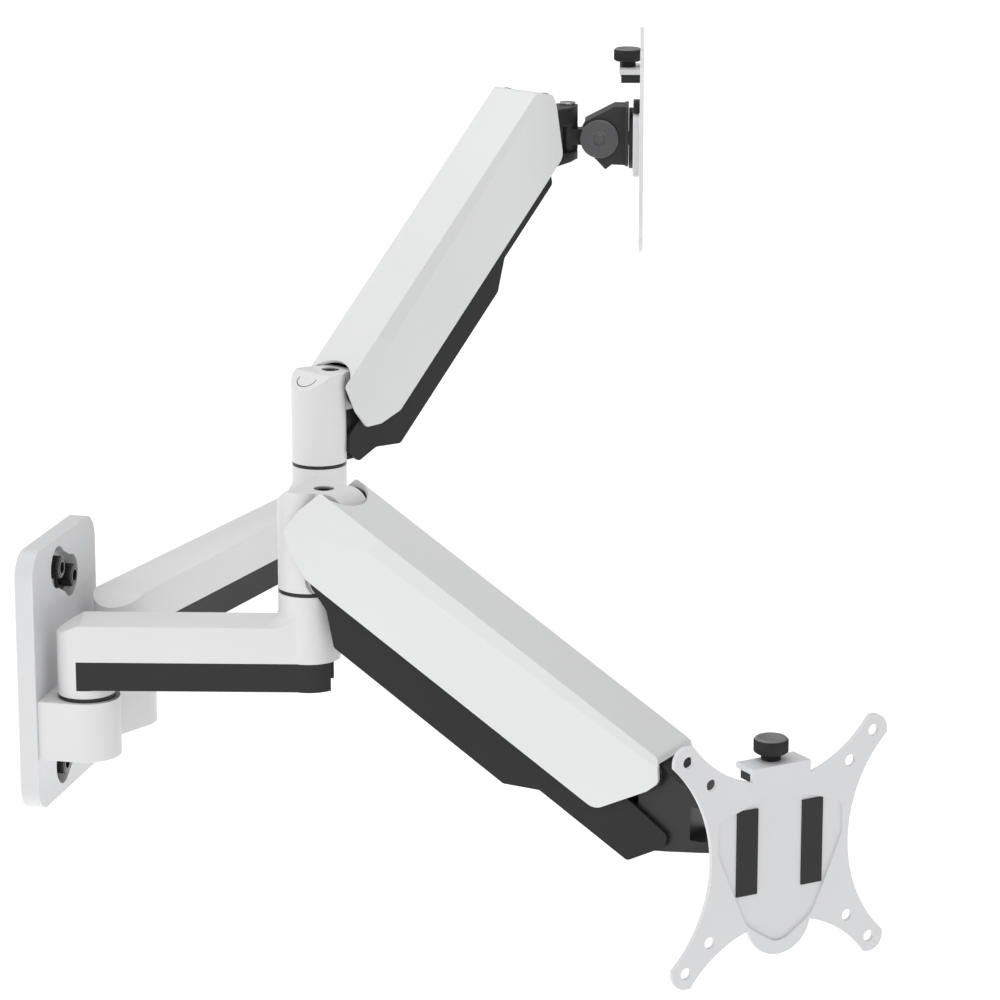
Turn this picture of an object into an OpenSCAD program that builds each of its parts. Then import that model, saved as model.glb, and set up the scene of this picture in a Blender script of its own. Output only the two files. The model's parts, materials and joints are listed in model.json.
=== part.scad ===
// Dual gas-spring wall mount for two monitors, in millimetres.
// Origin: centre of the wall plate's back face. +X leaves the wall, +Z is up.
// Each arm is built from the same modules; index 0 is the near arm (-Y side), index 1 the far arm.

/* [Wall plate] */
// Width of the wall plate
plate_w = 93; // [80:1:120]
// Height of the wall plate
plate_h = 131; // [110:1:180]
// Thickness of the wall plate
plate_t = 9.3; // [8:0.1:14]
// Corner radius of the wall plate
plate_r = 13; // [6:1:20]
// Floor left under the bolt pockets
pocket_floor = 3; // [2.5:0.1:4]
// Radius of the round ends of a bolt pocket
pocket_r = 10.5; // [9.5:0.1:11]
// Height of the pocket middle above and below the centre
pocket_z = 46; // [44:0.5:48]
// Radius of a lag bolt shank
lag_r = 4; // [3:0.25:5]

/* [Wall bracket] */
// Distance of the two root axes from the wall
axis_x = 29; // [27:0.5:40]
// Half the distance between the two root axes
axis_y = 28; // [25:0.5:29]
// Radius of a bracket lobe
lobe_r = 16.5; // [15.5:0.1:18]
// Height of the bracket
lobe_h = 29.6; // [22:0.1:40]

/* [Joints between links] */
// Radius of the posts and elbow bosses
post_r = 15.1; // [14.5:0.1:15.5]
// Thickness of the black bearing rings
bush_t = 2; // [1:0.1:3]
// Radius of the root and elbow shafts
shaft_r = 7; // [4:0.25:8]
// Running clearance round shafts and pins, on the radius
run_gap = 0.05; // [0.02:0.01:0.1]
// Gap between flat faces that turn on each other
face_gap = 0.1; // [0.05:0.01:0.2]
// Side clearance between links that turn past each other
side_gap = 0.4; // [0.3:0.05:0.5]

/* [Extension arms] */
// Axis to axis length of the near and the far extension arm
ext_len = [110, 224];
// Half width of an extension arm
ext_half = 14; // [13:0.1:14.4]
// Level of the top of the beam
ext_top = 30.3; // [26:0.1:34]
// Level where the white beam meets the black cable trim
trim_top = 12.3; // [10:0.1:14]
// Level of the underside of the cable trim
trim_low = -2; // [-4:0.1:0]
// Wall of the cable trim
trim_wall = 2.2; // [1.5:0.1:2.6]
// Level of the elbow, at the top of its bearing ring
elbow_z = 47.9; // [44:0.1:60]
// Level of the root, at the top of its bearing ring
root_z = -6.4; // [-9:0.1:-5]

/* [Gas-spring arms] */
// Pivot to pivot length of a gas-spring arm
arm_len = 202; // [180:1:260]
// Height of the post above the elbow ring
post_h = 50; // [49.5:0.1:60]
// Distance of the arm pivot from the elbow axis
pivot_x = 16.6; // [16:0.1:20]
// Depth of the arm pivot under the post top
pivot_drop = 10.7; // [10.7:0.1:12]
// Height between the upper and the lower pivot
link_gap = 32; // [30:0.5:33]
// Half width of the cover
cover_half = 18.8; // [18.5:0.1:22]
// Wall of the cover
cover_wall = 2; // [1.5:0.1:2.2]
// Sheet thickness of the steel channel and of the lower link
sheet = 2; // [1.5:0.1:2.1]
// Height of the cover top over the pivot line
cover_top = 11.5; // [11.5:0.1:13]
// Depth of the cover's lower edge under the pivot line
cover_low = 30; // [28:0.5:32]
// Radius of the arm's pivot pins
pin_r = 4; // [3:0.25:4.5]
// Radius of the gas cylinder
gas_r = 8.5; // [7:0.1:9]
// Radius of the gas spring rod
rod_r = 4; // [3:0.25:5]
// Rod travel for each radian that the arm pitches
rod_gain = 8; // [4:0.5:10]

/* [Monitor head] */
// Distance of the swivel axis from the arm's head pivot
swivel_x = 35; // [34:0.5:40]
// Depth of the monitor centre under the head pivot
head_drop = 22.9; // [22:0.1:24]
// Distance from the swivel axis to the front of the monitor plate
plate_out = 43.8; // [43.5:0.1:50]
// Distance from the monitor plate's front back to the tilt axis
tilt_back = 25.2; // [25:0.1:26]
// Height of the tilt axis over the monitor centre
tilt_z = 1; // [0:0.1:2]
// Radius of the two tilt discs
disc_r = 11; // [9:0.1:12]
// Radius of the swivel and tilt pins
head_pin_r = 3; // [2.5:0.1:3.5]

/* [Monitor plate] */
// Spacing of the outer holes, both ways
vesa_outer = 100; // [96:1:100]
// Spacing of the inner holes, both ways
vesa_inner = 75; // [75:1:76]
// Diameter of a monitor screw hole
vesa_hole = 5.6; // [4.5:0.1:6]
// Radius of the plate's four rounded ends
vesa_end_r = 7.5; // [6:0.1:9]
// Thickness of the monitor plate
vesa_t = 2.2; // [1.8:0.1:2.4]
// Half width of the monitor plate between its ends
vesa_waist = 37; // [36:0.5:42]

/* [Resting pose, degrees] */
// Direction of each extension arm from +X, near and far
ext_yaw = [11.5, 79.3];
// Direction of each gas-spring arm from +X, near and far
gas_yaw = [-15.5, 57.8];
// Rise of each gas-spring arm, near and far
pitch = [-30.1, 44.7];
// Direction that each monitor plate faces, near and far
head_yaw = [-47.4, 11];

/* [Hidden] */
$fn = 64;
SIDE = [-1, 1];
pivot_z = post_h - pivot_drop;
low_z = pivot_z - link_gap;
lobe_top = root_z - bush_t;
lobe_low = lobe_top - lobe_h;
boss_top = elbow_z - bush_t;
washer_t = 1.6;
lag_head_r = 5.8;
lag_head_h = 6.7;
pocket_run = 9;
pocket_slope = 4.3;
channel_in = cover_half - cover_wall - 0.9 - sheet;
channel_out = channel_in + sheet;
link_out = channel_in - side_gap;
link_in = link_out - sheet - 0.2;
core_half = link_in - side_gap;
skin = cover_top - cover_wall;
gas_z = -6;
gas_from = 50;
gas_to = arm_len - 44;
gas_eye = arm_len - 36;
rod_len = 75;
rod_base = 26;
link_end_r = 10.6;
low_reach = link_out - 0.9;
notch_r = 20;
notch_x = -11;
jaw_r = 6;
tongue_half = 5.5;
tongue_r = 7.8;
neck_r = 4.5;
ear_in = 5.8;
ear_out = 9.8;
jaw_gap = 0.3;
block_top = -3.6;
block_low = -35.2;
window_x = 20.5;
plate_gap = 0.2;
release_back = -6;
release_front = -vesa_t - plate_gap;
face_back = -10.5;
face_front = -8.5;
disc_back = -8.3;
bolt_r = 4;
slot_y = 17.6;
slot_w = 11.3;
slot_low = -18.5;
slot_high = 22.3;
tab_half = 15.7;
tab_low = 38.6;
tab_top = 41.3;
tab_back = -14;
thumb_x = -9.3;
thumb_r = 8;
KNURLS = 24;

WHITE = "whitesmoke";
BLACK = "#26272a";
GREY = "#58595c";
STEEL = "silver";

// ---- outline helpers ----

// Unit vector along v
function unit(v) = v / norm(v);

// Difference of two directions, wrapped to -180..180
function turn(d) = d > 180 ? d - 360 : d < -180 ? d + 360 : d;

// Points of the round that replaces corner b, between a and c
function fillet(a, b, c, r, n) =
    let (u = unit(a - b), w = unit(c - b), half = acos(u * w) / 2)
    let (m = b + unit(u + w) * r / sin(half), p = b + u * r / tan(half) - m, q = b + w * r / tan(half) - m)
    let (start = atan2(p[1], p[0]), sweep = turn(atan2(q[1], q[0]) - start))
    [for (i = [0:n]) m + r * [cos(start + sweep * i / n), sin(start + sweep * i / n)]];

// Two coordinates of the i-th corner, counted round
function corner(p, i) = let (k = (i + len(p)) % len(p)) [p[k][0], p[k][1]];

// Closed outline from corners [x, y, radius]
function rounded(p, n = 6) =
    [for (i = [0:len(p) - 1]) each
        p[i][2] > 0 ? fillet(corner(p, i - 1), corner(p, i), corner(p, i + 1), p[i][2], n) : [corner(p, i)]];

// Upright outline (x, z) given thickness from y0 to y1
module slab(y0, y1) {
    translate([0, y1, 0]) rotate([90, 0, 0]) linear_extrude(y1 - y0) children();
}

// The same outline on both sides of the middle plane
module both_sides(inner, outer) {
    slab(inner, outer) children();
    slab(-outer, -inner) children();
}

// Outline (y, z) given thickness from x0 to x1
module sheet_x(x0, x1) {
    translate([x0, 0, 0]) rotate([90, 0, 90]) linear_extrude(x1 - x0) children();
}

// Rectangle with exact round corners
module round_rect(w, h, r) {
    square([w - 2 * r, h], center = true);
    square([w, h - 2 * r], center = true);
    for (x = [-1, 1], y = [-1, 1]) translate([x * (w / 2 - r), y * (h / 2 - r)]) circle(r);
}

// ---- places of the links at rest ----

module at_ext(k) {
    translate([axis_x, SIDE[k] * axis_y, 0]) rotate([0, 0, ext_yaw[k]]) children();
}

module at_elbow(k) {
    at_ext(k) translate([ext_len[k], 0, elbow_z]) rotate([0, 0, gas_yaw[k] - ext_yaw[k]]) children();
}

module at_arm(k) {
    at_elbow(k) translate([pivot_x, 0, pivot_z]) rotate([0, -pitch[k], 0]) children();
}

module at_link(k) {
    at_elbow(k) translate([pivot_x, 0, low_z]) rotate([0, -pitch[k], 0]) children();
}

module at_head(k) {
    reach = arm_len * cos(pitch[k]);
    rise = arm_len * sin(pitch[k]);
    at_elbow(k) translate([pivot_x + reach, 0, pivot_z + rise]) children();
}

module at_swivel(k) {
    at_head(k) translate([swivel_x, 0, -head_drop]) rotate([0, 0, head_yaw[k] - gas_yaw[k]]) children();
}

// Front centre of the monitor plate, +X is the way the screen faces
module at_face(k) {
    at_swivel(k) translate([plate_out, 0, 0]) children();
}

// ---- wall side ----

// Middle of the pocket's two bolts, upper (1) or lower (-1)
module at_lag_bolts(level) {
    for (e = [-1, 1])
        translate([0, e * pocket_run, level * (pocket_z - e * pocket_slope)]) rotate([0, 90, 0]) children();
}

module pocket_outline(level) {
    slope = atan2(-level * 2 * pocket_slope, 2 * pocket_run);
    for (e = [-1, 1]) translate([e * pocket_run, level * (pocket_z - e * pocket_slope)]) circle(pocket_r);
    translate([0, level * pocket_z]) rotate(slope)
        square([2 * norm([pocket_run, pocket_slope]), 1.8 * pocket_r], center = true);
}

// Places of the four screws that hold the bracket to the plate
module at_bracket_screws() {
    middle = (lobe_top + lobe_low) / 2;
    for (y = [-1, 1], z = [-1, 1])
        translate([0, y * 34, middle + z * lobe_h * 0.28]) rotate([0, 90, 0]) children();
}

module wall_plate() {
    color(WHITE) difference() {
        sheet_x(0, plate_t) round_rect(plate_w, plate_h, plate_r);
        for (level = [-1, 1]) {
            sheet_x(pocket_floor, plate_t + 1) pocket_outline(level);
            at_lag_bolts(level) translate([0, 0, -1]) cylinder(r = lag_r + 0.5, h = plate_t);
        }
        at_bracket_screws() translate([0, 0, -1]) cylinder(r = 3.1, h = plate_t + 2);
        at_bracket_screws() translate([0, 0, -1]) cylinder(r = 5.6, h = 5);
    }
}

module lag_washers() {
    color(BLACK) for (level = [-1, 1]) at_lag_bolts(level) translate([0, 0, pocket_floor]) difference() {
        cylinder(r = 8, h = washer_t);
        translate([0, 0, -1]) cylinder(r = lag_r + 0.2, h = washer_t + 2);
    }
}

module lag_bolts() {
    color(BLACK) for (level = [-1, 1]) at_lag_bolts(level) {
        translate([0, 0, pocket_floor + washer_t]) cylinder(r = lag_head_r, h = lag_head_h, $fn = 48);
        cylinder(r = lag_r, h = pocket_floor + washer_t);
    }
}

module bracket_screws() {
    color(BLACK) at_bracket_screws() {
        difference() {
            cylinder(r = 5.4, h = 4);
            translate([0, 0, -1]) cylinder(r = 2.6, h = 3.4, $fn = 6);
        }
        translate([0, 0, 4]) cylinder(r = 3, h = 13);
    }
}

module bracket_plan() {
    groove_x = axis_x + 5;
    flank = 0.42 * lobe_r;
    for (s = SIDE) translate([axis_x, s * axis_y]) circle(lobe_r);
    polygon([
        [plate_t, -axis_y - lobe_r], [axis_x, -axis_y - lobe_r],
        [axis_x + lobe_r * 0.907, -axis_y + flank], [groove_x, 0],
        [axis_x + lobe_r * 0.907, axis_y - flank], [axis_x, axis_y + lobe_r],
        [plate_t, axis_y + lobe_r]
    ]);
}

module wall_bracket() {
    color(WHITE) difference() {
        translate([0, 0, lobe_low]) linear_extrude(lobe_h) bracket_plan();
        for (s = SIDE) translate([axis_x, s * axis_y, lobe_low + 4]) cylinder(r = shaft_r, h = lobe_h);
        at_bracket_screws() translate([0, 0, plate_t - 1]) cylinder(r = 3, h = 8.7);
        // room for the two lower bolt heads
        at_lag_bolts(-1) translate([0, 0, plate_t - 1]) cylinder(r = lag_head_r + 0.5, h = 4);
    }
}

module root_shafts() {
    top = trim_top + 8;
    color(STEEL) for (s = SIDE) translate([axis_x, s * axis_y, lobe_low + 4]) cylinder(r = shaft_r, h = top - lobe_low - 4);
}

module root_bushes() {
    color(BLACK) for (s = SIDE) translate([axis_x, s * axis_y, lobe_top]) difference() {
        cylinder(r = ext_half + 0.2, h = bush_t - face_gap);
        translate([0, 0, -1]) cylinder(r = shaft_r, h = bush_t + 2);
    }
}

// ---- extension arm ----

// Plan of the beam, and of the trim when side is taken off every edge
module ext_plan(k, side = 0) {
    circle(ext_half - side);
    translate([ext_len[k], 0]) circle(post_r - side);
    translate([0, -ext_half + side]) square([ext_len[k], 2 * (ext_half - side)]);
}

// Concave blend where the elbow boss rises from the beam
module boss_blend(k) {
    r = 7;
    translate([ext_len[k], 0, ext_top]) intersection() {
        rotate_extrude() difference() {
            translate([post_r - 1, 0]) square([r + 1, r]);
            translate([post_r + r, r]) circle(r);
        }
        translate([-post_r - r, -ext_half, 0]) cube([post_r + r, 2 * ext_half, r]);
    }
}

module ext_arm(k) {
    hub_back = -3;
    core_r = ext_half - trim_wall - 0.4;
    color(WHITE) at_ext(k) difference() {
        union() {
            translate([0, 0, trim_top]) linear_extrude(ext_top - trim_top) ext_plan(k);
            translate([0, 0, root_z]) cylinder(r = ext_half, h = trim_low - 0.3 - root_z);
            translate([0, 0, root_z]) cylinder(r = core_r, h = ext_top - 10 - root_z);
            translate([0, 0, root_z]) intersection() {
                cylinder(r = ext_half, h = trim_top - root_z);
                translate([-ext_half - 1, -ext_half - 1, 0]) cube([ext_half + 1 + hub_back - 0.2, 2 * ext_half + 2, 30]);
            }
            translate([ext_len[k], 0, ext_top - 1]) cylinder(r = post_r, h = boss_top - ext_top + 1);
            boss_blend(k);
        }
        // slanted facet over the root
        translate([-2, 0, ext_top]) rotate([0, -26, 0]) translate([-40, -30, 0]) cube([40, 60, 30]);
        translate([0, 0, root_z - 1]) cylinder(r = shaft_r + run_gap, h = trim_top + 8.5 - root_z + 1);
        translate([ext_len[k], 0, trim_top + 4]) cylinder(r = shaft_r, h = 60);
    }
}

module cable_trim(k) {
    hub_back = -3;
    hub_clear = ext_half - trim_wall;
    mouth = 10.5;
    color(BLACK) at_ext(k) difference() {
        translate([0, 0, trim_low]) linear_extrude(trim_top - trim_low) ext_plan(k);
        translate([0, 0, trim_low + 2]) linear_extrude(30) ext_plan(k, trim_wall);
        translate([-30, -30, trim_low - 1]) cube([30 + hub_back, 60, 30]);
        translate([0, 0, trim_low - 1]) cylinder(r = hub_clear, h = 30);
        translate([hub_back - 1, -hub_clear, trim_low - 1]) cube([-hub_back + 1, 2 * hub_clear, 30]);
        translate([ext_len[k] + 4, -mouth, trim_low - 1]) cube([30, 2 * mouth, 30]);
    }
}

module elbow_bush(k) {
    color(BLACK) at_ext(k) translate([ext_len[k], 0, boss_top]) difference() {
        cylinder(r = post_r, h = bush_t - face_gap);
        translate([0, 0, -1]) cylinder(r = shaft_r, h = bush_t + 2);
    }
}

module elbow_shaft(k) {
    color(STEEL) at_ext(k) translate([ext_len[k], 0, trim_top + 4]) cylinder(r = shaft_r, h = elbow_z + 28 - trim_top - 4);
}

// ---- post at the elbow ----

screw_x = 9;

module post(k) {
    color(WHITE) at_elbow(k) difference() {
        union() {
            cylinder(r = post_r, h = post_h);
            slab(-core_half, core_half) translate([pivot_x, pivot_z]) circle(pivot_drop);
            translate([0, -core_half, pivot_z - pivot_drop]) cube([pivot_x, 2 * core_half, 2 * pivot_drop]);
        }
        translate([-4, 0, post_h]) rotate([0, -36, 0]) translate([-40, -30, 0]) cube([40, 60, 30]);
        translate([0, 0, -1]) cylinder(r = shaft_r + run_gap, h = 29.5);
        translate([screw_x, 0, post_h - 5]) cylinder(r = 5 + run_gap, h = 10);
        translate([screw_x, 0, 31]) cylinder(r = 3 + run_gap, h = 20);
        slab(-20, 20) translate([pivot_x, pivot_z]) circle(pin_r);
        slab(-20, 20) translate([pivot_x, low_z]) circle(pin_r - 0.5);
        // room for the root ends of the lower link
        both_sides(core_half + 0.05, 20) translate([pivot_x, low_z]) circle(link_end_r);
    }
}

module tension_screw(k) {
    color(BLACK) at_elbow(k) translate([screw_x, 0, 0]) difference() {
        union() {
            translate([0, 0, post_h - 4.9]) cylinder(r = 5, h = 4.4);
            translate([0, 0, 31.2]) cylinder(r = 3, h = post_h - 35.5);
        }
        translate([0, 0, post_h - 3.2]) cylinder(r = 3, h = 5, $fn = 6);
    }
}

module post_bracket(k) {
    lug_r = min(7, low_z - 0.3);
    color(BLACK) at_elbow(k) difference() {
        union() {
            slab(-core_half, core_half) translate([pivot_x, low_z]) circle(lug_r);
            translate([8, -core_half, low_z - lug_r]) cube([pivot_x - 8, 2 * core_half, pivot_z - pivot_drop - low_z + lug_r]);
        }
        cylinder(r = post_r, h = post_h);
        slab(-20, 20) translate([pivot_x, low_z]) circle(pin_r - 0.5);
    }
}

// Upper and lower hinge pins in the post
module root_pins(k) {
    reach = channel_out + 0.4;
    color(STEEL) at_elbow(k) {
        slab(-reach, reach) translate([pivot_x, pivot_z]) circle(pin_r);
        slab(-low_reach, low_reach) translate([pivot_x, low_z]) circle(pin_r - 0.5);
    }
}

// ---- gas-spring arm ----

module arm_channel(k) {
    web_from = 14;
    web_to = arm_len - 12;
    color(BLACK) at_arm(k) difference() {
        union() {
            both_sides(channel_in, channel_out) {
                circle(9);
                translate([arm_len, 0]) circle(8);
                polygon([
                    [0, 9], [web_from, skin], [web_to, skin], [arm_len, 8],
                    [arm_len, -8], [web_to, -11], [web_from, -11], [0, -9]
                ]);
            }
            translate([web_from, -channel_out, skin - sheet]) cube([web_to - web_from, 2 * channel_out, sheet]);
        }
        slab(-30, 30) circle(pin_r + run_gap);
        slab(-30, 30) translate([arm_len, 0]) circle(pin_r + run_gap);
        slab(-30, 30) translate([gas_eye, gas_z]) circle(3);
    }
}

// Side view of the cover, in the arm's own frame
function cover_outline() = rounded([
    [-6, cover_top, 2], [arm_len + 1.5, cover_top, 4], [arm_len + 7.7, 2, 4],
    [arm_len + 5, -5, 6], [arm_len - 12, -cover_low, 8], [9, -cover_low, 6],
    [-5, -23.5, 6], [-12.8, -16.2, 1.5], [-11.5, -4, 10]
]);

module arm_cover(k) {
    inner = cover_half - cover_wall;
    color(WHITE) at_arm(k) difference() {
        slab(-cover_half, cover_half) polygon(cover_outline());
        translate([-40, -inner, -60]) cube([arm_len + 80, 2 * inner, 60 + skin]);
        // round notch in the top, clear of the post
        intersection() {
            translate([notch_x, 0, 0]) cylinder(r = notch_r, h = 30);
            translate([-60, -inner, 0]) cube([120, 2 * inner, 30]);
        }
        translate([-60, -inner, 0]) cube([60 + notch_x, 2 * inner, 30]);
    }
}

module gas_cylinder(k) {
    color(BLACK) at_arm(k) translate([0, 0, gas_z]) {
        difference() {
            union() {
                translate([gas_from, 0, 0]) rotate([0, 90, 0]) cylinder(r = gas_r, h = gas_to - gas_from);
                translate([gas_to - 1, -4, -4]) cube([gas_eye - gas_to + 1, 8, 8]);
                slab(-4, 4) translate([gas_eye, 0]) circle(5.5);
            }
            translate([gas_from - 1, 0, 0]) rotate([0, 90, 0]) cylinder(r = rod_r + run_gap, h = 72);
            slab(-9, 9) translate([gas_eye, 0]) circle(3);
        }
        slab(-channel_out, channel_out) translate([gas_eye, 0]) circle(3);
    }
}

module gas_rod(k) {
    rod_x = rod_base - rod_gain * pitch[k] * PI / 180;
    color(STEEL) at_arm(k) translate([rod_x, 0, gas_z]) difference() {
        union() {
            rotate([0, 90, 0]) cylinder(r = rod_r, h = rod_len);
            slab(-rod_r - 0.6, rod_r + 0.6) circle(5);
        }
        slab(-9, 9) circle(2.5);
    }
}

// Lower edge of the link from root to head
function link_under() = [[20.5, -25.2], [128, -25.4], [145, -15.8], [arm_len - 3, -16]];

// Side view of the link, in its own frame
function link_outline() = rounded([
    [-6.5, 3, 2], [1, 9.6, 4], [arm_len - 16, 10, 6], [arm_len + 7, 8, 3], [arm_len + 9, 2.5, 3],
    [link_under()[3][0], link_under()[3][1], 3], [link_under()[2][0], link_under()[2][1], 3],
    [link_under()[1][0], link_under()[1][1], 3], [link_under()[0][0], link_under()[0][1], 3],
    [8, -11.5, 5], [-5.5, -6.5, 2.5]
]);

module lower_link(k) {
    web_t = 2;
    web_path = concat([[24, -25.1]], [for (i = [1:2]) link_under()[i]], [[arm_len - 8, -15.9]]);
    color(BLACK) at_link(k) difference() {
        union() {
            both_sides(link_in, link_out) polygon(link_outline());
            for (i = [0:2]) slab(-link_in - 0.1, link_in + 0.1)
                polygon([web_path[i], web_path[i + 1], web_path[i + 1] + [0, web_t], web_path[i] + [0, web_t]]);
        }
        // blind bores, so no pin shows on the outer faces
        slab(-link_out + 0.7, link_out - 0.7) circle(pin_r - 0.5 + run_gap);
        slab(-link_out + 0.7, link_out - 0.7) translate([arm_len, 0]) circle(pin_r - 0.5 + 2 * run_gap);
    }
}

// ---- head ----

module head_bracket(k) {
    jaw_low = tilt_z - tongue_r - jaw_gap - head_drop;
    jaw_high = tilt_z + tongue_r + jaw_gap - head_drop;
    color(BLACK) at_head(k) difference() {
        union() {
            slab(-core_half, core_half) {
                circle(7);
                translate([0, -link_gap]) circle(6.5);
                polygon([
                    [-6.5, -1], [-2, 6.5], [4, 5.6], [15, block_top], [swivel_x - 8, block_top],
                    [swivel_x - 8, block_low], [8, block_low - 2.4], [0, -link_gap - 6.4], [-6.2, -link_gap]
                ]);
            }
            translate([swivel_x, 0, block_low]) linear_extrude(block_top - block_low) {
                circle(jaw_r);
                polygon([
                    [-15, -core_half], [-8, -core_half], [1.5, -jaw_r + 0.2],
                    [1.5, jaw_r - 0.2], [-8, core_half], [-15, core_half]
                ]);
            }
        }
        translate([window_x, -20, jaw_low]) cube([40, 40, jaw_high - jaw_low]);
        translate([swivel_x, 0, -60]) cylinder(r = head_pin_r, h = 80);
        slab(-30, 30) circle(pin_r);
        slab(-30, 30) translate([0, -link_gap]) circle(pin_r - 0.5);
    }
}

module head_pins(k) {
    reach = channel_out + 0.4;
    color(STEEL) at_head(k) {
        slab(-reach, reach) circle(pin_r);
        slab(-low_reach, low_reach) translate([0, -link_gap]) circle(pin_r - 0.5);
    }
}

module swivel_pin(k) {
    color(STEEL) at_head(k) translate([swivel_x, 0, block_low - 1]) {
        cylinder(r = head_pin_r, h = block_top - block_low + 1);
        translate([0, 0, block_top - block_low + 1]) cylinder(r = 4.6, h = 1.4);
    }
}

module swivel_link(k) {
    reach = plate_out - tilt_back;
    color(GREY) at_swivel(k) difference() {
        union() {
            translate([0, 0, tilt_z - tongue_r]) cylinder(r = jaw_r, h = 2 * tongue_r);
            translate([0, -tongue_half, tilt_z - neck_r]) cube([reach, 2 * tongue_half, 2 * neck_r]);
            slab(-tongue_half, tongue_half) translate([reach, tilt_z]) circle(tongue_r);
        }
        translate([0, 0, -20]) cylinder(r = head_pin_r + run_gap, h = 40);
        slab(-20, 20) translate([reach, tilt_z]) circle(head_pin_r + run_gap);
    }
}

module tilt_bracket(k) {
    hood = [[-33.7, 10.5], [-16.5, 19.4], [face_front, 19.2]];
    color(GREY) at_face(k) difference() {
        union() {
            both_sides(ear_in, ear_out) {
                translate([-tilt_back, tilt_z]) circle(10.4);
                polygon(concat(hood, [
                    [face_front, -14.5], [-18, -14], [-21.7, -16.9], [-32, -6]
                ]));
            }
            slab(-ear_out, ear_out) polygon(concat(hood, [[face_front, 16.6], [-16, 16.8], [-32.6, 8.3]]));
            sheet_x(face_back, face_front) translate([0, 2.4]) round_rect(34, 33.8, 4);
        }
        translate([face_back - 1, 0, 0]) rotate([0, 90, 0]) cylinder(r = bolt_r + run_gap, h = 4);
        slab(-20, 20) translate([-tilt_back, tilt_z]) circle(head_pin_r);
    }
}

// Tilt bolt with a friction disc and cap on each side
module tilt_bolt(k) {
    color(GREY) at_face(k) translate([-tilt_back, 0, tilt_z]) {
        slab(-ear_out, ear_out) circle(head_pin_r);
        for (s = SIDE) difference() {
            slab(s > 0 ? ear_out : -ear_out - 3, s > 0 ? ear_out + 3 : -ear_out) circle(disc_r);
            slab(s > 0 ? ear_out + 2.2 : -ear_out - 4, s > 0 ? ear_out + 4 : -ear_out - 2.2) difference() {
                circle(3.9);
                circle(2.7);
            }
        }
    }
}

module rotation_disc(k) {
    color(BLACK) at_face(k) difference() {
        translate([disc_back, 0, 0]) rotate([0, 90, 0]) cylinder(r = 17.5, h = release_back - disc_back);
        translate([disc_back - 1, 0, 0]) rotate([0, 90, 0]) cylinder(r = bolt_r, h = 9);
    }
}

module rotation_bolt(k) {
    head_x = face_back - 0.2 - 3.2;
    color(STEEL) at_face(k) rotate([0, 90, 0]) {
        translate([0, 0, head_x]) cylinder(r = 5.2, h = 3.2);
        translate([0, 0, head_x + 3.2]) cylinder(r = bolt_r, h = release_front - 0.6 - head_x - 3.2);
    }
}

module release_plate(k) {
    color(WHITE) at_face(k) difference() {
        sheet_x(release_back, release_front) translate([0, -0.9]) round_rect(62, 34.8, 5);
        translate([release_back - 1, 0, 0]) rotate([0, 90, 0]) cylinder(r = bolt_r, h = 9);
    }
}

// Front view of the monitor plate without its holes
module vesa_outline() {
    half = vesa_outer / 2 + vesa_end_r;
    reach = vesa_outer / 2 - 3;
    side_in = half - vesa_waist - 1;
    side_r = (reach * reach + side_in * side_in) / (2 * side_in);
    top_z = 33;
    top_in = half - top_z - 1;
    top_r = (reach * reach + top_in * top_in) / (2 * top_in);
    difference() {
        round_rect(2 * half, 2 * half, vesa_end_r);
        for (s = SIDE) translate([s * (vesa_waist + side_r), 0]) circle(side_r, $fn = 128);
        for (s = SIDE) translate([0, s * (top_z + top_r)]) circle(top_r, $fn = 128);
    }
    translate([0, -32.5]) circle(17);
    translate([-tab_half, top_z - 6]) square([2 * tab_half, tab_top - top_z + 6]);
}

module shield_outline() {
    polygon(rounded([
        [-33.5, 19, 5], [0, 29.5, 50], [33.5, 19, 5], [34, 4, 8], [18, -33, 16], [0, -45, 10], [-18, -33, 16],
        [-34, 4, 8]
    ]));
}

module vesa_holes(gap) {
    for (y = [-1, 1], z = [-1, 1]) translate([y * gap / 2, z * gap / 2]) circle(vesa_hole / 2);
}

module slot_shapes() {
    for (s = SIDE) translate([s * slot_y - slot_w / 2, slot_low]) square([slot_w, slot_high - slot_low]);
}

module vesa_plate(k) {
    color(WHITE) at_face(k) difference() {
        union() {
            sheet_x(-vesa_t, 0) vesa_outline();
            translate([tab_back, -tab_half, tab_low]) cube([-tab_back, 2 * tab_half, tab_top - tab_low]);
            translate([thumb_x, 0, tab_low - 3]) cylinder(r = 4.4, h = 3.5);
        }
        sheet_x(1 - vesa_t, 1) shield_outline();
        sheet_x(-10, 10) {
            vesa_holes(vesa_outer);
            vesa_holes(vesa_inner);
            slot_shapes();
        }
        translate([thumb_x, 0, 30]) cylinder(r = 2.3 + run_gap, h = 20);
    }
}

module slot_slides(k) {
    color(BLACK) at_face(k) sheet_x(-vesa_t, -0.3) slot_shapes();
}

module plate_clip(k) {
    color(BLACK) at_face(k) {
        translate([-13, -14, tab_low - 5]) cube([13 - vesa_t, 8, 5]);
        translate([-12, tab_half - 3, tab_low - 2]) cube([4, 3, 2]);
        translate([-5.8, -tab_half - 4, 17.2]) cube([5.8 - vesa_t, 8, 7]);
    }
}

module thumb_screw(k) {
    head_low = tab_top + 3.3;
    head_h = 7.4;
    color(BLACK) at_face(k) translate([thumb_x, 0, 0]) {
        difference() {
            translate([0, 0, head_low]) cylinder(r = thumb_r, h = head_h);
            for (i = [0:KNURLS - 1]) rotate([0, 0, i * 360 / KNURLS])
                translate([thumb_r + 0.15, 0, head_low - 1]) cylinder(r = 0.55, h = head_h + 2, $fn = 16);
        }
        translate([0, 0, tab_top + 0.1]) cylinder(r = 4.6, h = head_low - tab_top - 0.1);
        translate([0, 0, tab_low - 5.9]) cylinder(r = 2.3, h = tab_top - tab_low + 6);
    }
}

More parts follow.
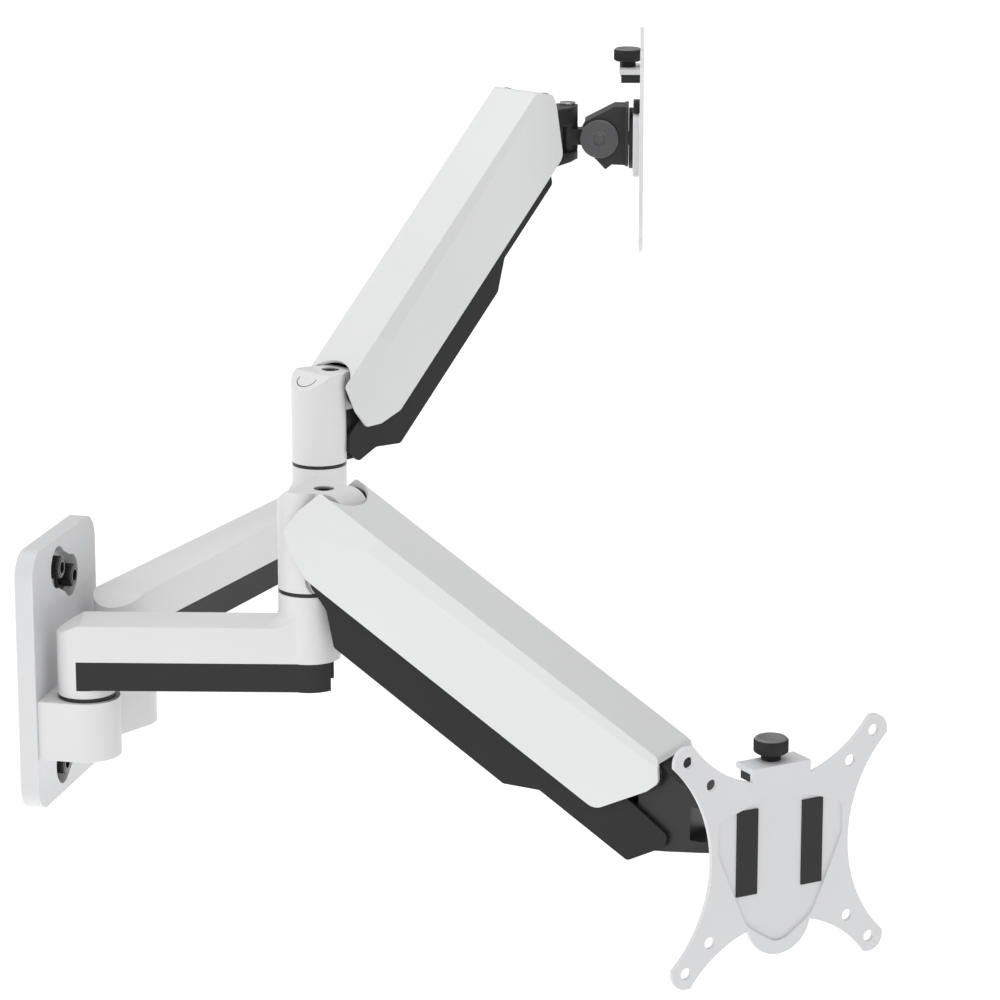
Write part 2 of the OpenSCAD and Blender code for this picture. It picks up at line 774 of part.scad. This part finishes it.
wall_plate();
wall_bracket();
bracket_screws();
lag_bolts();
lag_washers();
root_bushes();
root_shafts();
ext_arm(0);  // near_ext_arm
cable_trim(0);  // near_cable_trim
elbow_bush(0);  // near_elbow_bush
elbow_shaft(0);  // near_elbow_shaft
post(0);  // near_post
tension_screw(0);  // near_tension_screw
post_bracket(0);  // near_post_bracket
root_pins(0);  // near_root_pins
arm_channel(0);  // near_arm_channel
arm_cover(0);  // near_arm_cover
gas_cylinder(0);  // near_gas_cylinder
gas_rod(0);  // near_gas_rod
lower_link(0);  // near_lower_link
head_bracket(0);  // near_head_bracket
head_pins(0);  // near_head_pins
swivel_link(0);  // near_swivel_link
swivel_pin(0);  // near_swivel_pin
tilt_bracket(0);  // near_tilt_bracket
tilt_bolt(0);  // near_tilt_bolt
rotation_disc(0);  // near_rotation_disc
rotation_bolt(0);  // near_rotation_bolt
release_plate(0);  // near_release_plate
vesa_plate(0);  // near_vesa_plate
slot_slides(0);  // near_slot_slides
thumb_screw(0);  // near_thumb_screw
plate_clip(0);  // near_plate_clip
ext_arm(1);  // far_ext_arm
cable_trim(1);  // far_cable_trim
elbow_bush(1);  // far_elbow_bush
elbow_shaft(1);  // far_elbow_shaft
post(1);  // far_post
tension_screw(1);  // far_tension_screw
post_bracket(1);  // far_post_bracket
root_pins(1);  // far_root_pins
arm_channel(1);  // far_arm_channel
arm_cover(1);  // far_arm_cover
gas_cylinder(1);  // far_gas_cylinder
gas_rod(1);  // far_gas_rod
lower_link(1);  // far_lower_link
head_bracket(1);  // far_head_bracket
head_pins(1);  // far_head_pins
swivel_link(1);  // far_swivel_link
swivel_pin(1);  // far_swivel_pin
tilt_bracket(1);  // far_tilt_bracket
tilt_bolt(1);  // far_tilt_bolt
rotation_disc(1);  // far_rotation_disc
rotation_bolt(1);  // far_rotation_bolt
release_plate(1);  // far_release_plate
vesa_plate(1);  // far_vesa_plate
slot_slides(1);  // far_slot_slides
thumb_screw(1);  // far_thumb_screw
plate_clip(1);  // far_plate_clip
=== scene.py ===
import json
import math

import bmesh
import bpy
from mathutils import Matrix, Vector


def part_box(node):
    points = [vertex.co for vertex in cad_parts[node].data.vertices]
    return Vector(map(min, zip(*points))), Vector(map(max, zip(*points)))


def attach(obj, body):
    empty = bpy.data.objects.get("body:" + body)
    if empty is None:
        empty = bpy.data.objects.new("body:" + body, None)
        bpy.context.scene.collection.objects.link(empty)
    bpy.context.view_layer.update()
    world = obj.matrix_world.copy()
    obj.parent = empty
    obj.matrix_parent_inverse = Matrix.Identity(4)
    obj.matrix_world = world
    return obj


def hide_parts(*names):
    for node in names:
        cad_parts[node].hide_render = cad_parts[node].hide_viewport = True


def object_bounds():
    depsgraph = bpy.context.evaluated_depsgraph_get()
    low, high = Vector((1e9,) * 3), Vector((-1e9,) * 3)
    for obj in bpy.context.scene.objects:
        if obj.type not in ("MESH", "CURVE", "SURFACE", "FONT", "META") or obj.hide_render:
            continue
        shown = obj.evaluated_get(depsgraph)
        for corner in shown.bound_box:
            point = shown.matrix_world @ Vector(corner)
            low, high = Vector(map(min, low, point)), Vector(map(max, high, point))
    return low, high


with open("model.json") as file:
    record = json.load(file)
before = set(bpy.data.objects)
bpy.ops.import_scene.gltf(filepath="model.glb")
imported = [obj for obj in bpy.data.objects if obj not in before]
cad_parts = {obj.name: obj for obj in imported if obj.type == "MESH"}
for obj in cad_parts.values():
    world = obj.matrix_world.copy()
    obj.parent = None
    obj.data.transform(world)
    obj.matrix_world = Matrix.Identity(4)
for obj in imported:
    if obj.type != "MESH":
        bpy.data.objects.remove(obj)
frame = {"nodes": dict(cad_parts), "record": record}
cad_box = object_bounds()

MM = 0.001
SIDES = ("near", "far")

# ---------------------------------------------------------------- camera
AZ, EL = math.radians(13.07), math.radians(14.08)
CAMERA_PLACE = Vector((0.6356, -1.7444, 0.5440))
SENSOR, LENS = 36, 138.6
cam_data = bpy.data.cameras.new("camera")
cam = bpy.data.objects.new("camera", cam_data)
bpy.context.collection.objects.link(cam)
bpy.context.scene.camera = cam
right = Vector((math.cos(AZ), math.sin(AZ), 0))
ahead = Vector((-math.sin(AZ) * math.cos(EL), math.cos(AZ) * math.cos(EL), -math.sin(EL)))
up = right.cross(ahead)
look = Matrix((right, up, -ahead)).transposed().to_4x4()
look.translation = CAMERA_PLACE
cam.matrix_world = look
cam_data.sensor_width = SENSOR
cam_data.lens = LENS
cam_data.clip_end = 50
bpy.context.scene.view_settings.view_transform = "Standard"


# ---------------------------------------------------------------- materials
class Nodes:
    """Builds one node-based material."""

    def __init__(self, name):
        self.mat = bpy.data.materials.new(name)
        self.mat.use_nodes = True
        self.tree = self.mat.node_tree
        self.shader = self.tree.nodes["Principled BSDF"]
        self.coords = self.add("ShaderNodeTexCoord")

    def add(self, kind, **values):
        node = self.tree.nodes.new(kind)
        for key, value in values.items():
            if hasattr(node, key):
                setattr(node, key, value)
            else:
                node.inputs[key.replace("_", " ")].default_value = value
        return node

    def link(self, a, b):
        self.tree.links.new(a, b)

    def noise(self, scale, detail=3.0, rough=0.55, stretch=None):
        node = self.add("ShaderNodeTexNoise", Scale=scale, Detail=detail, Roughness=rough)
        source = self.coords.outputs["Object"]
        if stretch:
            mapping = self.add("ShaderNodeMapping")
            mapping.inputs["Scale"].default_value = stretch
            self.link(source, mapping.inputs["Vector"])
            source = mapping.outputs["Vector"]
        self.link(source, node.inputs["Vector"])
        return node.outputs["Fac"]

    def ramp(self, fac, low, high, a, b):
        """low where fac is a and high where it is b, straight in between."""
        node = self.add("ShaderNodeMapRange")
        self.link(fac, node.inputs["Value"])
        for name, value in (("From Min", a), ("From Max", b), ("To Min", low), ("To Max", high)):
            node.inputs[name].default_value = value
        return node.outputs["Result"]

    def mix(self, fac, dark, light):
        node = self.add("ShaderNodeMix", data_type="RGBA")
        self.link(fac, node.inputs["Factor"])
        node.inputs[6].default_value = (*dark, 1)
        node.inputs[7].default_value = (*light, 1)
        return node.outputs[2]

    def bump(self, height, strength, distance):
        node = self.add("ShaderNodeBump", Strength=strength, Distance=distance)
        self.link(height, node.inputs["Height"])
        self.link(node.outputs["Normal"], self.shader.inputs["Normal"])

    def set(self, **values):
        for key, value in values.items():
            self.shader.inputs[key.replace("_", " ")].default_value = value


DRIFT = 9
# mottle size of the painted highlight on rounded edges
HIGHLIGHT_PATCH = 160
GLOSS_PATCH = 60
GRAIN_DEPTH = 0.0004
COAT_ROUGHNESS = 0.12


def finish(
    name, dark, light, rough, grain, grain_size, metallic=0.0, coat=0.0, brushed=None, shine=0.5, patch=DRIFT
):
    """A painted, moulded or turned surface: colour drift, uneven gloss and fine grain."""
    n = Nodes(name)
    shade = n.ramp(n.noise(patch, 4), 0, 1, 0.34, 0.66)
    n.link(n.mix(shade, dark, light), n.shader.inputs["Base Color"])
    n.link(n.ramp(n.noise(GLOSS_PATCH, 3), *rough, 0.3, 0.7), n.shader.inputs["Roughness"])
    n.bump(n.noise(grain_size, 4, 0.6, brushed), grain, GRAIN_DEPTH)
    n.set(Metallic=metallic, Coat_Weight=coat, Coat_Roughness=COAT_ROUGHNESS, Specular_IOR_Level=shine)
    return n.mat


# each slot's finish, and under "edge" how its rounded edges are painted lighter, a painted highlight along
# the edges
FINISHES = {
    "white_metal": dict(
        dark=(0.72, 0.725, 0.735), light=(0.75, 0.755, 0.765), rough=(0.34, 0.38), grain=0.06, grain_size=900,
        coat=0.1, edge=dict(light=(0.86, 0.86, 0.865)),
    ),
    "white_cast": dict(
        dark=(0.77, 0.77, 0.775), light=(0.80, 0.80, 0.805), rough=(0.34, 0.38), grain=0.03, grain_size=900,
        coat=0.1, edge=dict(light=(0.84, 0.84, 0.845)),
    ),
    "white_cover": dict(
        dark=(0.765, 0.77, 0.775), light=(0.79, 0.795, 0.80), rough=(0.30, 0.34), grain=0.04, grain_size=520,
        coat=0.15,
        # near-white rounds: painted highlight lines along the crease and the top edges
        edge=dict(
            dark=(0.95, 0.95, 0.95), light=(0.99, 0.99, 0.99), rough=(0.26, 0.30), grain=0.02, coat=0.3,
        ),
    ),
    "black_plastic": dict(
        dark=(0.020, 0.0205, 0.0215), light=(0.023, 0.0235, 0.0245), rough=(0.44, 0.47), grain=0.12,
        grain_size=1500, shine=0.3, edge=dict(light=(0.045, 0.045, 0.047)),
    ),
    "black_gloss": dict(
        dark=(0.008, 0.008, 0.0085), light=(0.011, 0.011, 0.0115), rough=(0.16, 0.20), grain=0.05,
        grain_size=1500, shine=0.4, edge=dict(light=(0.03, 0.03, 0.032)),
    ),
    "black_steel": dict(
        dark=(0.019, 0.0195, 0.0205), light=(0.022, 0.0225, 0.0235), rough=(0.42, 0.45), grain=0.08,
        grain_size=1100, shine=0.25, edge=dict(light=(0.05, 0.05, 0.053)),
    ),
    "grey_cast": dict(
        dark=(0.026, 0.0265, 0.028), light=(0.032, 0.0325, 0.034), rough=(0.36, 0.41), grain=0.12,
        grain_size=1300, shine=0.35, edge=dict(light=(0.08, 0.08, 0.083)),
    ),
    "grey_disc": dict(
        dark=(0.085, 0.086, 0.089), light=(0.10, 0.101, 0.104), rough=(0.34, 0.40), grain=0.12,
        grain_size=1200, shine=0.4, edge=dict(light=(0.20, 0.20, 0.205)),
    ),
    "bright_steel": dict(
        dark=(0.42, 0.42, 0.43), light=(0.52, 0.52, 0.53), rough=(0.22, 0.30), grain=0.20, grain_size=600,
        metallic=1.0, brushed=(1, 1, 14), edge=dict(light=(0.70, 0.70, 0.70)),
    ),
    "black_zinc": dict(
        dark=(0.014, 0.014, 0.015), light=(0.020, 0.020, 0.021), rough=(0.28, 0.33), grain=0.15,
        grain_size=1000, shine=0.4, edge=dict(light=(0.08, 0.08, 0.083)),
    ),
    # a grey for the bolts' faces, also used as a painted sheen on the knob's top
    "shadow_grey": dict(
        dark=(0.17, 0.17, 0.175), light=(0.20, 0.20, 0.205), rough=(0.32, 0.40), grain=0.10, grain_size=900,
        shine=0.4, edge=dict(light=(0.35, 0.35, 0.355)),
    ),
}
MATS, EDGE_HIGHLIGHTS = {}, {}
for slot, looks in FINISHES.items():
    highlight_look = looks.pop("edge")
    MATS[slot] = finish(slot, **looks)
    # a lighter copy of each finish for the rounded edges: a painted highlight, mottled
    EDGE_HIGHLIGHTS[slot] = finish(slot + "_edge", **{**looks, "dark": looks["light"], "patch": HIGHLIGHT_PATCH, **highlight_look})

# ---------------------------------------------------------------- helpers
JOINTS = {j["name"]: j for j in frame["record"]["behaviour"]["joints"]}
MERGE = 2e-6
FLAT = math.radians(0.6)


def wear(obj, slot):
    """Gives a piece one procedural material."""
    obj.data.materials.clear()
    obj.data.materials.append(MATS[slot])


def clean(mesh):
    """Smooth shading, without the import's own normals."""
    if "custom_normal" in mesh.attributes:
        mesh.attributes.remove(mesh.attributes["custom_normal"])
    mesh.shade_smooth()


def soften(obj, width, segments=3, angle=32, weld=True, edge=None):
    """Rounds the edges of a piece, with flat faces kept flat; edge names the slot whose lighter copy the
    rounds get, a painted highlight along the edges.
    """
    clean(obj.data)
    if weld:
        joined = obj.modifiers.new("joined", "WELD")
        joined.merge_threshold = MERGE
        flat = obj.modifiers.new("flat", "DECIMATE")
        flat.decimate_type = "DISSOLVE"
        flat.angle_limit = FLAT
    mod = obj.modifiers.new("edges", "BEVEL")
    mod.width = width
    mod.segments = segments
    mod.limit_method = "ANGLE"
    mod.angle_limit = math.radians(angle)
    mod.use_clamp_overlap = True
    mod.harden_normals = True
    mod.miter_outer = "MITER_ARC"
    # the rounds take the lighter copy: a painted highlight along every rounded edge
    if edge:
        obj.data.materials.append(EDGE_HIGHLIGHTS[edge])
        mod.material = len(obj.data.materials) - 1


def new_piece(name, mesh, body, slot, *nodes):
    """A piece that rides on a body and stands in for the CAD nodes named."""
    obj = bpy.data.objects.new(name, mesh)
    bpy.context.collection.objects.link(obj)
    wear(obj, slot)
    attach(obj, body)
    if nodes:
        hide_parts(*nodes)
    return obj


def arm_frame(side):
    """Matrix of the gas-spring arm's own frame: x along the arm, y across, z normal to it."""
    pitch = JOINTS[side + "_arm_pitch"]
    start = Vector(pitch["pos_m"])
    x = (Vector(JOINTS[side + "_head_level"]["pos_m"]) - start).normalized()
    y = -Vector(pitch["axis"]).normalized()
    m = Matrix((x, y, x.cross(y))).transposed().to_4x4()
    m.translation = start
    return m


def face_frame(side):
    """Matrix of the monitor plate's frame: x the way the screen faces, y across, z up."""
    turn = JOINTS[side + "_screen_rotation"]
    x = Vector(turn["axis"]).normalized()
    z = Vector((0, 0, 1))
    m = Matrix((x, z.cross(x), z)).transposed().to_4x4()
    m.translation = Vector(turn["pos_m"])
    return m


def elbow_frame(side):
    """Matrix at the elbow: x towards the gas-spring arm, z up, at the level of the elbow ring's top."""
    start = Vector(JOINTS[side + "_elbow_yaw"]["pos_m"])
    y = -Vector(JOINTS[side + "_arm_pitch"]["axis"]).normalized()
    z = Vector((0, 0, 1))
    m = Matrix((y.cross(z), y, z)).transposed().to_4x4()
    m.translation = start
    return m


# ---------------------------------------------------------------- CAD nodes
slot_of = {s["node"]: s["material_slot"] for s in frame["record"]["subparts"]}
# radius in mm that rounds each node's edges, which carry a painted highlight
SOFT = {
    "wall_plate": 1.6, "wall_bracket": 1.3, "root_bushes": 0.5, "lag_washers": 0.3,
    "ext_arm": 0.9, "cable_trim": 0.7, "elbow_bush": 0.5, "post": 0.9, "tension_screw": 0.4,
    "post_bracket": 0.6, "root_pins": 0.4, "arm_channel": 0.5, "gas_cylinder": 0.6, "gas_rod": 0.3,
    "lower_link": 0.55,
    "head_bracket": 0.7, "head_pins": 0.5, "swivel_link": 0.6, "swivel_pin": 0.4, "tilt_bracket": 0.6,
    "tilt_bolt": 0.45, "rotation_disc": 0.4, "rotation_bolt": 0.4, "release_plate": 0.7, "vesa_plate": 0.42,
    "slot_slides": 0.35, "plate_clip": 0.4,
}
GLOSSY = ("root_bushes", "elbow_bush")
for name, obj in frame["nodes"].items():
    kind = name.replace("near_", "").replace("far_", "")
    surface = "black_gloss" if kind in GLOSSY else slot_of[name]
    wear(obj, surface)
    if kind in SOFT:
        soften(obj, SOFT[kind] * MM, edge=surface)
    else:
        clean(obj.data)

# ---------------------------------------------------------------- covers of the gas-spring arms
# the sides lean in above a crease, by LEAN at the cover's top
LEAN = 1.7 * MM
TOP = 11.5 * MM
SIDE_FROM = 18.7 * MM
CREASE = [(-12.8, -16.2), (30.5, 3), (204, 8)]


def crease_z(x):
    """Height of the crease in metres, x metres along the arm."""
    (x0, z0), (x1, z1) = CREASE[:2] if x < CREASE[1][0] * MM else CREASE[1:]
    return (z0 + (x / MM - x0) * (z1 - z0) / (x1 - x0)) * MM


def on_side(face):
    """Whether a face lies on one of the cover's two outer sides, in the arm's own frame."""
    return all(abs(v.co.y) > SIDE_FROM for v in face.verts)


def cover_shell(side):
    """The cover with a creased, leaning face on each side."""
    node = frame["nodes"][side + "_arm_cover"]
    m = arm_frame(side)
    bm = bmesh.new()
    bm.from_mesh(node.data)
    bmesh.ops.remove_doubles(bm, verts=bm.verts, dist=MERGE)
    bmesh.ops.dissolve_limit(bm, angle_limit=FLAT, verts=bm.verts, edges=bm.edges)
    bm.transform(m.inverted())
    bend = CREASE[1][0] * MM

    def cut(faces, point, normal):
        edges = {e for f in faces for e in f.edges}
        verts = {v for f in faces for v in f.verts}
        bmesh.ops.bisect_plane(bm, geom=[*verts, *edges, *faces], dist=1e-7, plane_co=point, plane_no=normal)

    cut([f for f in bm.faces if on_side(f)], (bend, 0, 0), (1, 0, 0))
    for k in (0, 1):
        (x0, z0), (x1, z1) = CREASE[k : k + 2]
        part = [f for f in bm.faces if on_side(f) and (f.calc_center_median().x < bend) == (k == 0)]
        cut(part, (x0 * MM, 0, z0 * MM), (-(z1 - z0), 0, x1 - x0))
    for v in bm.verts:
        if abs(v.co.y) > SIDE_FROM:
            low = crease_z(v.co.x)
            if v.co.z > low + 1e-6:
                shift = LEAN * (v.co.z - low) / (TOP - low)
                v.co.y -= math.copysign(shift, v.co.y)
    bm.transform(m)
    mesh = bpy.data.meshes.new(side + "_cover_shell")
    bm.to_mesh(mesh)
    bm.free()
    obj = new_piece(side + "_cover_shell", mesh, side + "_arm", "white_cover", side + "_arm_cover")
    # rounding at this low angle puts the painted highlight on the crease and the top edges too
    soften(obj, 0.8 * MM, angle=1.6, weld=False, edge="white_cover")


for side in SIDES:
    cover_shell(side)


# ---------------------------------------------------------------- turned and knurled pieces
def skin(bm, rings):
    """Joins rings of vertices into a closed surface with a flat cap at each end."""
    for a, b in zip(rings, rings[1:]):
        for i in range(len(a)):
            j = (i + 1) % len(a)
            bm.faces.new((a[i], a[j], b[j], b[i]))
    bm.faces.new(rings[0][::-1])
    bm.faces.new(rings[-1])
    bmesh.ops.recalc_face_normals(bm, faces=bm.faces)


def turned(profile, segments, teeth, depth):
    """Mesh turned about X. profile: (x, radius, knurled) in mm; knurled rings get teeth of that depth."""
    bm = bmesh.new()
    rings = []
    for x, r, knurled in profile:
        ring = []
        for i in range(segments):
            a = 2 * math.pi * i / segments
            cut = depth * (0.5 - 0.5 * math.cos(a * teeth)) if knurled else 0.0
            ring.append(bm.verts.new((x * MM, (r - cut) * MM * math.cos(a), (r - cut) * MM * math.sin(a))))
        rings.append(ring)
    skin(bm, rings)
    return bm


def as_mesh(name, parts):
    """One mesh from several (bmesh, matrix) pairs."""
    mesh = bpy.data.meshes.new(name)
    out = bmesh.new()
    for bm, m in parts:
        bm.transform(m)
        part = bpy.data.meshes.new("part")
        bm.to_mesh(part)
        out.from_mesh(part)
        bpy.data.meshes.remove(part)
        bm.free()
    out.to_mesh(mesh)
    out.free()
    return mesh


def islands(name):
    """Boxes of a node's separate solids, as (lowest corner, highest corner) in metres."""
    bm = bmesh.new()
    bm.from_mesh(frame["nodes"][name].data)
    bmesh.ops.remove_doubles(bm, verts=bm.verts, dist=MERGE)
    left, boxes = set(bm.verts), []
    while left:
        stack, seen = [left.pop()], []
        while stack:
            v = stack.pop()
            seen.append(v.co.copy())
            for e in v.link_edges:
                w = e.other_vert(v)
                if w in left:
                    left.remove(w)
                    stack.append(w)
        low, high = ([pick(c[k] for c in seen) for k in range(3)] for pick in (min, max))
        boxes.append((Vector(low), Vector(high)))
    bm.free()
    return sorted(boxes, key=lambda b: tuple(round(x, 5) for x in b[0]))


def grey_faces(obj, axis, slope, above):
    """Turns the faces grey that look along an axis by more than slope and lie above a level."""
    obj.data.materials.append(MATS["shadow_grey"])
    for face in obj.data.polygons:
        if face.normal[axis] > slope and face.center[axis] > above:
            face.material_index = 1


def lag_heads():
    """The four wall bolts with knurled rims and hollow heads."""
    parts = []
    for low, high in islands("lag_bolts"):
        middle = (low + high) / 2
        top, base = high.x / MM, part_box("lag_washers")[1].x / MM
        r = (high.y - low.y) / 2 / MM
        profile = [
            (low.x / MM, 4, 0), (base, 4, 0), (base, r - 0.5, 0), (base + 0.4, r, 1), (top - 1.3, r, 1),
            (top - 0.8, r - 0.45, 0), (top - 0.35, r - 0.8, 0), (top - 0.35, r - 1.5, 0), (top, r - 1.8, 0),
            (top, 2.9, 0), (top - 2.6, 2.7, 0), (top - 2.6, 0.01, 0),
        ]
        head = turned(profile, segments=120, teeth=30, depth=0.5)
        parts.append((head, Matrix.Translation((0, middle.y, middle.z))))
    obj = new_piece("lag_bolt_heads", as_mesh("lag_bolt_heads", parts), "wall", "black_zinc", "lag_bolts")
    rim = max(v.co.x for v in obj.data.vertices) - 0.45 * MM
    grey_faces(obj, 0, 0.9, rim)
    soften(obj, 0.12 * MM, segments=2, angle=30, weld=False)


lag_heads()


KNOB_HIGH, NECK_HIGH, KNOB_R = 7.4, 3.2, 8.0


def thumb_knob(side):
    """The knurled locking screw, turned in one piece."""
    m = face_frame(side)
    low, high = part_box(side + "_thumb_screw")
    foot, top = (low.z - m.translation.z) / MM, (high.z - m.translation.z) / MM
    head, r = top - KNOB_HIGH, KNOB_R
    neck = head - NECK_HIGH
    profile = [
        (foot, 1.7, 0), (foot + 0.6, 2.3, 0), (neck, 2.3, 0), (neck, 4.3, 0), (neck + 0.3, 4.6, 0),
        (head, 4.6, 0), (head, r - 1.1, 0), (head + 0.5, r - 0.5, 0), (head + 0.8, r, 1), (top - 1.1, r, 1),
        (top - 0.8, r - 0.45, 0), (top - 0.35, r - 0.75, 0), (top, r - 1.3, 0), (top, r - 2.2, 0),
        (top - 0.5, r - 2.6, 0), (top - 0.5, 0.01, 0),
    ]
    centre = (low + high) / 2
    stand = Matrix.Translation((centre.x, centre.y, m.translation.z)) @ Matrix.Rotation(-math.pi / 2, 4, "Y")
    knob = turned(profile, segments=240, teeth=40, depth=0.55)
    mesh = as_mesh(side + "_thumb_knob", [(knob, stand)])
    obj = new_piece(side + "_thumb_knob", mesh, side + "_thumb", "black_plastic", side + "_thumb_screw")
    # the knob's upward faces at the top are painted lighter grey: a painted sheen where the overhead light
    # falls
    grey_faces(obj, 2, 0.3, high.z - 0.9 * MM)
    clean(obj.data)


for side in SIDES:
    thumb_knob(side)

# ---------------------------------------------------------------- marks on the posts
SLOPE = math.radians(36)
SLOPE_FROM = -4 * MM
ARC_STEPS = 40
ARC_HALF = math.radians(100)
ARC_LONG, ARC_WIDE = 5.4, 6.6
LINE_HALF, LINE_HIGH = 0.3 * MM, 0.12 * MM
LINE_SIDES = 8


def post_mark(side):
    """A thin arc let into the slanted face of the post."""
    m = elbow_frame(side)
    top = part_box(side + "_post")[1].z - m.translation.z
    lie = m @ Matrix.Translation((SLOPE_FROM, 0, top)) @ Matrix.Rotation(-SLOPE, 4, "Y")
    bm = bmesh.new()
    path = []
    for i in range(ARC_STEPS + 1):
        a = ARC_HALF * (2 * i / ARC_STEPS - 1)
        path.append(Vector((-ARC_LONG - ARC_LONG * math.cos(a), ARC_WIDE * math.sin(a), 0)) * MM)
    rings = []
    for k, point in enumerate(path):
        along = (path[min(k + 1, ARC_STEPS)] - path[max(k - 1, 0)]).normalized()
        across = along.cross(Vector((0, 0, 1)))
        ring = []
        for q in range(LINE_SIDES):
            b = 2 * math.pi * q / LINE_SIDES
            rise = Vector((0, 0, LINE_HIGH * math.sin(b)))
            ring.append(bm.verts.new(point + across * LINE_HALF * math.cos(b) + rise))
        rings.append(ring)
    skin(bm, rings)
    mesh = as_mesh(side + "_post_mark", [(bm, lie)])
    obj = new_piece(side + "_post_mark", mesh, side + "_post_body", "grey_disc")
    clean(obj.data)


for side in SIDES:
    post_mark(side)

# ---------------------------------------------------------------- stage and light
FLOOR_DROP = 0.4
FLOOR_HALF = 30
floor_z = cad_box[0][2] - FLOOR_DROP
mesh = bpy.data.meshes.new("floor")
corners = [(x * FLOOR_HALF, y * FLOOR_HALF, floor_z) for x, y in ((-1, -1), (1, -1), (1, 1), (-1, 1))]
mesh.from_pydata(corners, [], [(0, 1, 2, 3)])
floor = bpy.data.objects.new("floor", mesh)
bpy.context.collection.objects.link(floor)
pale = Nodes("pale_floor")
pale.link(pale.mix(pale.noise(3), (0.84, 0.84, 0.84), (0.86, 0.86, 0.86)), pale.shader.inputs["Base Color"])
pale.set(Roughness=0.9, Emission_Color=(1, 1, 1, 1), Emission_Strength=0.52, Specular_IOR_Level=0.0)
floor.data.materials.append(pale.mat)

# a soft studio: brightest overhead and to the left in front, dim on the right and behind
BRIGHT_WAY = (-0.42, -0.30, 0.62)
DIM, BRIGHT = 0.06, 0.90
world = bpy.data.worlds.new("studio")
bpy.context.scene.world = world
world.use_nodes = True
tree = world.node_tree
where = tree.nodes.new("ShaderNodeTexCoord")
toward = tree.nodes.new("ShaderNodeVectorMath")
toward.operation = "DOT_PRODUCT"
toward.inputs[1].default_value = BRIGHT_WAY
tree.links.new(where.outputs["Generated"], toward.inputs[0])
level = tree.nodes.new("ShaderNodeMapRange")
for key, value in (("From Min", -0.5), ("From Max", 0.7), ("To Min", DIM), ("To Max", BRIGHT)):
    level.inputs[key].default_value = value
tree.links.new(toward.outputs["Value"], level.inputs["Value"])
tree.nodes["Background"].inputs["Color"].default_value = (1, 1, 1, 1)
tree.links.new(level.outputs["Result"], tree.nodes["Background"].inputs["Strength"])


def area_light(name, place, target, size, power):
    """A rectangular light of the size and power (W) given, aimed at a point."""
    data = bpy.data.lights.new(name, "AREA")
    data.shape = "RECTANGLE"
    data.size, data.size_y = size
    data.energy = power
    light = bpy.data.objects.new(name, data)
    bpy.context.collection.objects.link(light)
    light.location = place
    direction = Vector(target) - Vector(place)
    light.rotation_euler = direction.to_track_quat("-Z", "Y").to_euler()


centre = (cad_box[0] + cad_box[1]) / 2
area_light("top_light", centre + Vector((-0.1, 0.1, 1.4)), centre, (1.2, 1.2), 5)
area_light("front_light", centre + Vector((0.2, -1.5, 0.7)), centre, (0.5, 0.9), 1.5)
